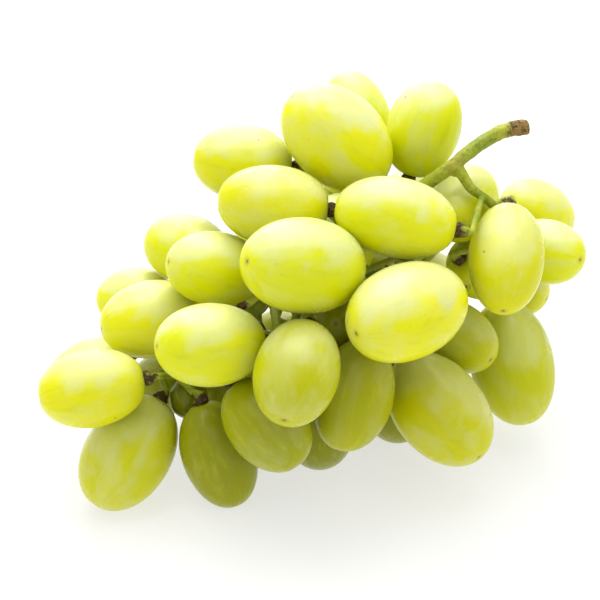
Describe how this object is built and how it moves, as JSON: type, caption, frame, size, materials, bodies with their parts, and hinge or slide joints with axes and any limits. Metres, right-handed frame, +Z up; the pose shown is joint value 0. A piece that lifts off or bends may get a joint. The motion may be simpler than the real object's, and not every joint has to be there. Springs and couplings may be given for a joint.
{
  "type": "bunch of grapes",
  "caption": "Bunch of plump oval green table grapes on a branching stalk with a short cut end, lying on its side.",
  "frame": {"origin": "on the surface that the bunch rests on, under the middle of its bounding box", "axes": "+Z up, +X along the bunch from its tip towards the cut stalk, +Y away from the side with the largest grapes"},
  "size_m": [0.1654, 0.1054, 0.1014],
  "materials": {
    "grape": "thin translucent skin, satin with a pale waxy bloom",
    "stalk": "matt green stalk, brown and corky at the cut end and at each grape"
  },
  "bodies": {
    "root": {"stalk": "stalk", "grape_01": "grape", "grape_02": "grape", "grape_03": "grape", "grape_04": "grape", "grape_05": "grape", "grape_06": "grape", "grape_07": "grape", "grape_08": "grape", "grape_09": "grape", "grape_10": "grape", "grape_11": "grape", "grape_12": "grape", "grape_13": "grape", "grape_14": "grape", "grape_15": "grape", "grape_16": "grape", "grape_17": "grape", "grape_18": "grape", "grape_19": "grape", "grape_20": "grape", "grape_21": "grape", "grape_22": "grape", "grape_23": "grape", "grape_24": "grape", "grape_25": "grape", "grape_26": "grape", "grape_27": "grape", "grape_28": "grape", "grape_29": "grape", "grape_30": "grape", "grape_31": "grape", "grape_32": "grape", "grape_33": "grape", "grape_34": "grape", "grape_35": "grape", "grape_36": "grape", "grape_37": "grape", "grape_38": "grape", "grape_39": "grape", "grape_40": "grape", "grape_41": "grape", "grape_42": "grape", "grape_43": "grape", "grape_44": "grape", "grape_45": "grape", "grape_46": "grape", "grape_47": "grape", "grape_48": "grape", "grape_49": "grape", "grape_50": "grape", "grape_51": "grape", "grape_52": "grape", "grape_53": "grape", "grape_54": "grape"}
  },
  "joints": []
}
